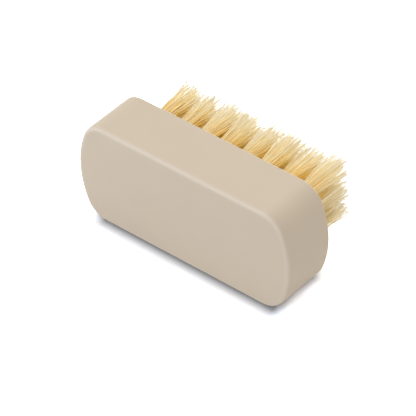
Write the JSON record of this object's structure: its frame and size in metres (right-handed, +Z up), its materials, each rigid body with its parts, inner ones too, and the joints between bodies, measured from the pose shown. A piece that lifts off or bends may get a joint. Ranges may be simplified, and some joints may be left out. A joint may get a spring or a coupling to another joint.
{
  "type": "nail brush",
  "caption": "Block-shaped nail brush: a rounded moulded plastic handle with rows of straight plant-fibre tufts standing out of one broad face.",
  "frame": {"origin": "centre of the long narrow side that the brush stands on", "axes": "+X along the handle, +Y from the palm face out along the bristles, +Z up"},
  "size_m": [0.09, 0.0463, 0.0396],
  "materials": {
    "shell_plastic": "fine matte",
    "plate_plastic": "fine matte",
    "anchor_wire": "drawn wire",
    "plant_fibre": "dry plant fibre"
  },
  "bodies": {
    "root": {"handle_shell": "shell_plastic", "tuft_plate": "plate_plastic", "anchors_upper": "anchor_wire", "anchors_middle": "anchor_wire", "anchors_lower": "anchor_wire", "tuft_upper_1": "plant_fibre", "tuft_upper_2": "plant_fibre", "tuft_upper_3": "plant_fibre", "tuft_upper_4": "plant_fibre", "tuft_upper_5": "plant_fibre", "tuft_upper_6": "plant_fibre", "tuft_upper_7": "plant_fibre", "tuft_upper_8": "plant_fibre", "tuft_middle_1": "plant_fibre", "tuft_middle_2": "plant_fibre", "tuft_middle_3": "plant_fibre", "tuft_middle_4": "plant_fibre", "tuft_middle_5": "plant_fibre", "tuft_middle_6": "plant_fibre", "tuft_middle_7": "plant_fibre", "tuft_middle_8": "plant_fibre", "tuft_lower_1": "plant_fibre", "tuft_lower_2": "plant_fibre", "tuft_lower_3": "plant_fibre", "tuft_lower_4": "plant_fibre", "tuft_lower_5": "plant_fibre", "tuft_lower_6": "plant_fibre", "tuft_lower_7": "plant_fibre", "tuft_lower_8": "plant_fibre"}
  },
  "joints": []
}
